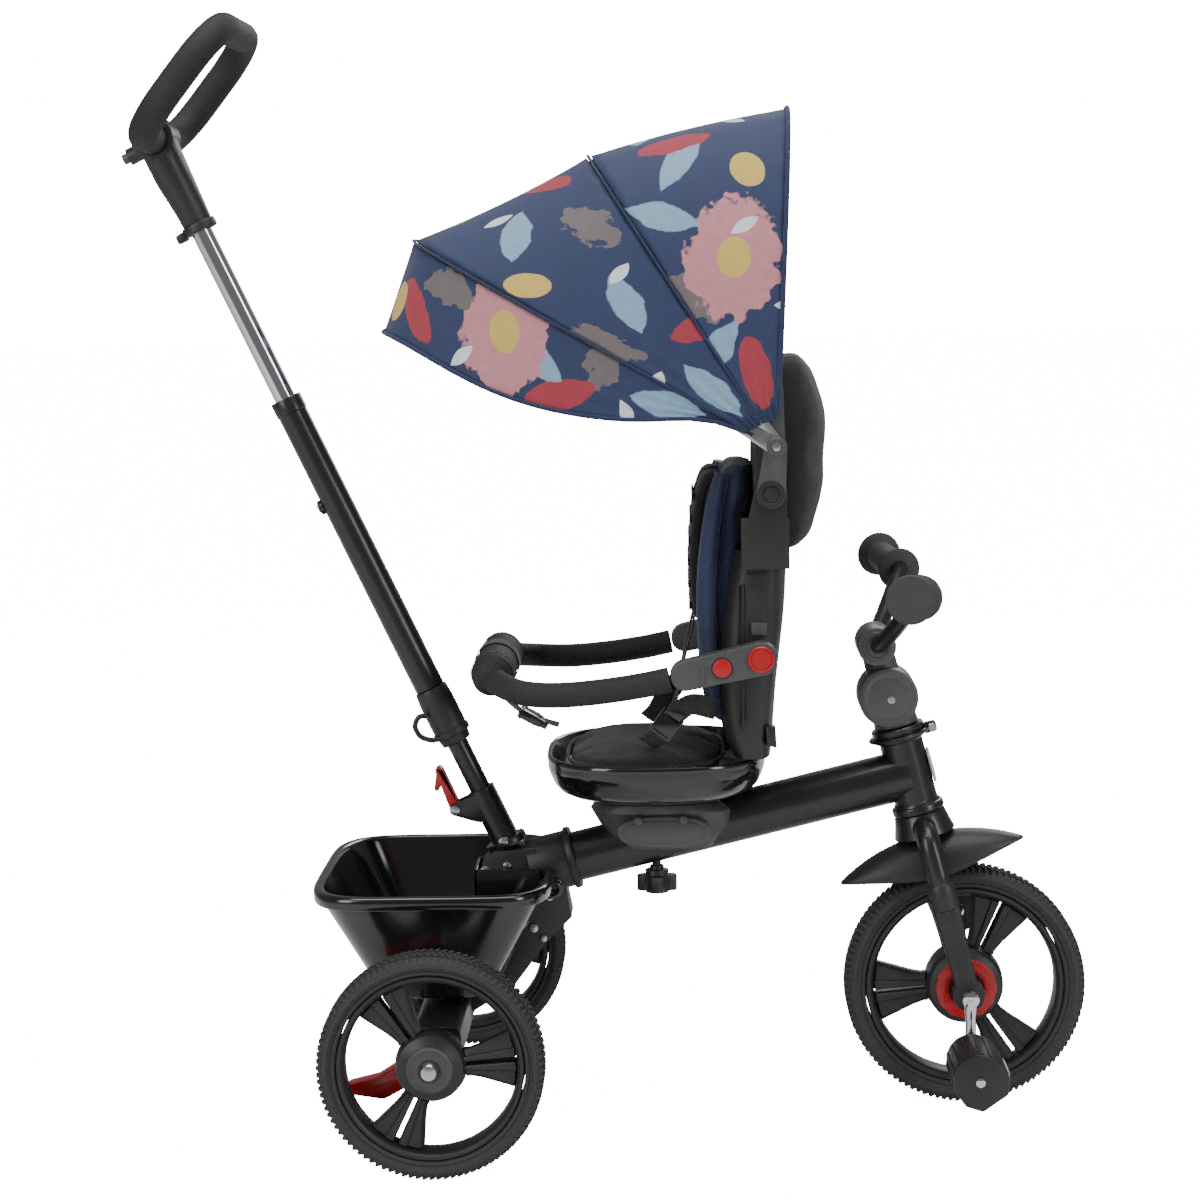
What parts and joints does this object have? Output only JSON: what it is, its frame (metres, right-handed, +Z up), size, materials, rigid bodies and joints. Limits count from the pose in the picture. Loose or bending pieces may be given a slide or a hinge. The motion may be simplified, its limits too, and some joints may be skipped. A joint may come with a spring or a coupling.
{
  "type": "children's tricycle",
  "caption": "Child's ride-on tricycle with a parent's push pole, swivelling padded seat, safety bar, folding canopy and rear basket.",
  "frame": {"origin": "on the ground straight below the front axle, in the mid-plane", "axes": "+X forward, from the rear axle to the front axle; +Y to the tricycle's left; +Z up"},
  "size_m": [0.89, 0.5012, 1.0311],
  "materials": {
    "satin_metal": "satin black enamel",
    "black_plastic": "fine matt grain",
    "grey_plastic": "satin moulding",
    "gloss_plastic": "polished moulding",
    "foam": "matt foam",
    "grip_rubber": "ribbed, matt",
    "tyre": "matt tread, smoother walls",
    "chrome": "mirror bright",
    "steel": "zinc plated",
    "red_plastic": "bright red moulding",
    "printed_cloth": "navy with a printed leaf and blossom pattern",
    "black_cloth": "matt woven"
  },
  "bodies": {
    "frame": {"main_tube": "satin_metal", "head_tube": "satin_metal", "head_badge": "steel", "pole_socket": "satin_metal", "rear_bracket": "satin_metal", "axle_beam": "satin_metal", "rear_axle": "steel", "basket": "gloss_plastic", "seat_base": "grey_plastic"},
    "rear_wheel_right": {"rear_tyre_right": "tyre", "rear_rim_right": "black_plastic", "hub_cap_right": "grey_plastic"},
    "rear_wheel_left": {"rear_tyre_left": "tyre", "rear_rim_left": "black_plastic", "hub_cap_left": "grey_plastic"},
    "brake_right": {"brake_lever_right": "red_plastic"},
    "brake_left": {"brake_lever_left": "red_plastic"},
    "link": {"steering_link": "steel"},
    "fork": {"fork": "satin_metal", "mudguard": "satin_metal", "handlebar": "satin_metal", "grip_right": "grip_rubber", "grip_left": "grip_rubber", "stem": "grey_plastic"},
    "front_wheel": {"front_tyre": "tyre", "front_rim": "black_plastic"},
    "clutch": {"clutch_ring": "red_plastic"},
    "crank": {"crank": "chrome"},
    "pedal_right": {"pedal_right": "black_plastic"},
    "pedal_left": {"pedal_left": "black_plastic"},
    "knob": {"seat_knob": "black_plastic"},
    "seat": {"swivel_plate": "steel", "seat_pan": "gloss_plastic", "seat_pad": "black_cloth"},
    "backrest": {"backrest_shell": "black_plastic", "back_hood": "black_cloth", "seat_liner": "printed_cloth", "canopy_block_right": "black_plastic", "canopy_block_left": "black_plastic"},
    "bar": {"bar_bracket_right": "grey_plastic", "bar_bracket_left": "grey_plastic", "safety_bar": "foam", "crotch_strap": "black_cloth"},
    "bar_button_right": {"bar_button_right": "red_plastic"},
    "bar_button_left": {"bar_button_left": "red_plastic"},
    "canopy": {"canopy_frame": "grey_plastic", "canopy_rear_cloth": "printed_cloth"},
    "middle_bow": {"middle_bow": "steel", "canopy_middle_cloth": "printed_cloth"},
    "front_bow": {"front_bow": "steel", "canopy_peak_cloth": "printed_cloth"},
    "latch": {"latch_lever": "red_plastic"},
    "pole": {"pole_foot": "satin_metal", "pole_collar": "black_plastic", "pole_sleeve": "satin_metal"},
    "snap": {"snap_button": "steel"},
    "chrome": {"chrome_tube": "chrome", "handle_bracket": "black_plastic"},
    "handle_lock": {"handle_button": "black_plastic"},
    "handle": {"handle_loop": "foam"}
  },
  "joints": [
    {"name": "rear_wheel_right_spin", "type": "hinge", "parent": "frame", "child": "rear_wheel_right", "pos_m": [-0.489, -0.22, 0.1016], "axis": [0, 1, 0], "continuous": true},
    {"name": "rear_wheel_left_spin", "type": "hinge", "parent": "frame", "child": "rear_wheel_left", "pos_m": [-0.489, 0.22, 0.1016], "axis": [0, 1, 0], "continuous": true},
    {"name": "steering", "type": "hinge", "parent": "frame", "child": "fork", "pos_m": [0, 0, 0.1143], "axis": [-0.2419, 0, 0.9703], "range_deg": [-25, 25]},
    {"name": "front_wheel_spin", "type": "hinge", "parent": "fork", "child": "front_wheel", "pos_m": [0, 0, 0.1143], "axis": [0, 1, 0], "continuous": true},
    {"name": "crank_spin", "type": "hinge", "parent": "fork", "child": "crank", "pos_m": [0, 0, 0.1143], "axis": [0, 1, 0], "continuous": true},
    {"name": "pedal_right_spin", "type": "hinge", "parent": "crank", "child": "pedal_right", "pos_m": [0, -0.1145, 0.0603], "axis": [0, 1, 0], "continuous": true},
    {"name": "pedal_left_spin", "type": "hinge", "parent": "crank", "child": "pedal_left", "pos_m": [0, 0.1145, 0.1683], "axis": [0, 1, 0], "continuous": true},
    {"name": "clutch_disengage", "type": "slide", "parent": "front_wheel", "child": "clutch", "axis": [0, -1, 0], "range_m": [0, 0.004]},
    {"name": "steering_link_slide", "type": "slide", "parent": "frame", "child": "link", "axis": [0.9728, 0, 0.2317], "range_m": [-0.009, 0.009]},
    {"name": "pole_turn", "type": "hinge", "parent": "frame", "child": "pole", "pos_m": [-0.4283, 0, 0.2471], "axis": [-0.4226, 0, 0.9063], "range_deg": [-25.5, 25.5]},
    {"name": "pole_latch", "type": "hinge", "parent": "frame", "child": "latch", "pos_m": [-0.47952, 0, 0.28832], "axis": [0, 1, 0], "range_deg": [-75, 0]},
    {"name": "brake_right", "type": "hinge", "parent": "frame", "child": "brake_right", "pos_m": [-0.503, -0.177, 0.0906], "axis": [0, 1, 0], "range_deg": [-16, 12]},
    {"name": "brake_left", "type": "hinge", "parent": "frame", "child": "brake_left", "pos_m": [-0.503, 0.177, 0.0906], "axis": [0, 1, 0], "range_deg": [-16, 12]},
    {"name": "seat_knob_turn", "type": "hinge", "parent": "frame", "child": "knob", "pos_m": [-0.29, 0, 0.25853], "axis": [0, 0, 1], "continuous": true},
    {"name": "seat_swivel", "type": "hinge", "parent": "frame", "child": "seat", "pos_m": [-0.29, 0, 0.29603], "axis": [0, 0, 1], "range_deg": [0, 180]},
    {"name": "backrest_recline", "type": "hinge", "parent": "seat", "child": "backrest", "pos_m": [-0.184, 0, 0.36203], "axis": [0, 1, 0], "range_deg": [0, 10]},
    {"name": "safety_bar_swing", "type": "hinge", "parent": "backrest", "child": "bar", "pos_m": [-0.192, 0, 0.44603], "axis": [0, 1, 0], "range_deg": [0, 50]},
    {"name": "bar_button_right_press", "type": "slide", "parent": "bar", "child": "bar_button_right", "axis": [0, 1, 0], "range_m": [0, 0.003], "stiffness_N_per_m": 400, "springref_m": -0.001},
    {"name": "bar_button_left_press", "type": "slide", "parent": "bar", "child": "bar_button_left", "axis": [0, -1, 0], "range_m": [0, 0.003], "stiffness_N_per_m": 400, "springref_m": -0.001},
    {"name": "canopy_tilt", "type": "hinge", "parent": "backrest", "child": "canopy", "pos_m": [-0.181, 0, 0.59203], "axis": [0, 1, 0], "range_deg": [0, 15]},
    {"name": "middle_bow_fold", "type": "hinge", "parent": "canopy", "child": "middle_bow", "pos_m": [-0.176, 0, 0.63503], "axis": [0, 1, 0], "range_deg": [0, 22], "deforming": ["canopy_rear_cloth"]},
    {"name": "front_bow_fold", "type": "hinge", "parent": "middle_bow", "child": "front_bow", "pos_m": [-0.176, 0, 0.63503], "axis": [0, 1, 0], "range_deg": [0, 16], "deforming": ["canopy_middle_cloth"]},
    {"name": "snap_button_press", "type": "slide", "parent": "pole", "child": "snap", "axis": [0.9063, 0, 0.4226], "range_m": [0, 0.0015], "stiffness_N_per_m": 300, "springref_m": -0.001},
    {"name": "pole_extend", "type": "slide", "parent": "pole", "child": "chrome", "axis": [-0.4226, 0, 0.9063], "range_m": [-0.15, 0.02]},
    {"name": "handle_button_press", "type": "slide", "parent": "chrome", "child": "handle_lock", "axis": [0.9063, 0, 0.4226], "range_m": [0, 0.004], "stiffness_N_per_m": 300, "springref_m": -0.001},
    {"name": "handle_tilt", "type": "hinge", "parent": "chrome", "child": "handle", "pos_m": [-0.74286, 0, 0.92167], "axis": [0, 1, 0], "range_deg": [-60, 40]}
  ],
  "couplings": [
    {"joint": "crank_spin", "follows": "front_wheel_spin", "ratio": 1},
    {"joint": "pole_turn", "follows": "steering", "ratio": 1},
    {"joint": "steering_link_slide", "follows": "steering", "m_per_rad": 0.02},
    {"joint": "front_bow_fold", "follows": "middle_bow_fold", "ratio": 0.727}
  ]
}
